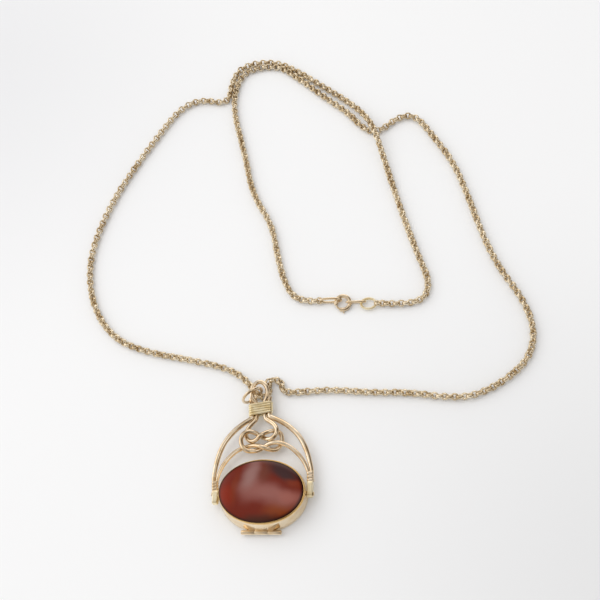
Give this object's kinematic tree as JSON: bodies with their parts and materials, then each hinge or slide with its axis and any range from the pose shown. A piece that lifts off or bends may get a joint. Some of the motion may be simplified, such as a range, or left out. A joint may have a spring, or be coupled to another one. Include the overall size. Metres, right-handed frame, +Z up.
{
  "type": "swivel fob pendant on a chain",
  "caption": "Gold swivel fob: oval two-stone case turning in a knotted wire frame, with bail, jump ring, belcher chain and bolt ring clasp, laid flat.",
  "frame": {"origin": "on the table, under the middle of the whole object's footprint", "axes": "+X along the case's pivots, +Y from the case's hinge towards the bail and the chain, +Z up"},
  "size_m": [0.1344, 0.162, 0.0068],
  "materials": {
    "polished_gold": "polished",
    "pale_gold": "polished",
    "chain_gold": "polished",
    "carnelian": "polished",
    "bloodstone": "polished"
  },
  "bodies": {
    "frame": {"terminal_left": "polished_gold", "terminal_right": "polished_gold", "outer_wire_left": "pale_gold", "outer_wire_right": "pale_gold", "knot_wire_left": "pale_gold", "knot_wire_right": "pale_gold", "top_wrap": "polished_gold", "bail": "polished_gold", "jump_ring": "polished_gold", "chain_left": "chain_gold", "chain_right": "chain_gold", "bolt_ring": "polished_gold", "clasp_link_left": "polished_gold", "clasp_link_right": "polished_gold", "tag_link": "pale_gold"},
    "setting": {"case": "polished_gold", "carnelian": "carnelian", "hinge_pin": "polished_gold"},
    "lid": {"lid": "polished_gold", "bloodstone": "bloodstone"},
    "bolt": {"bolt": "pale_gold"}
  },
  "joints": [
    {"name": "swivel", "type": "hinge", "parent": "frame", "child": "setting", "pos_m": [-0.00665, -0.07034, 0.00275], "axis": [1, 0, 0], "continuous": true},
    {"name": "lid_hinge", "type": "hinge", "parent": "setting", "child": "lid", "pos_m": [-0.00665, -0.0802, 0.00135], "axis": [-1, 0, 0], "range_deg": [0, 100]},
    {"name": "bolt_turn", "type": "hinge", "parent": "frame", "child": "bolt", "pos_m": [0.01315, -0.01314, 0.00106], "axis": [0, -0.2419, 0.9703], "range_deg": [0, 62], "stiffness_Nm_per_rad": 0.0006, "springref_deg": -28.65}
  ]
}
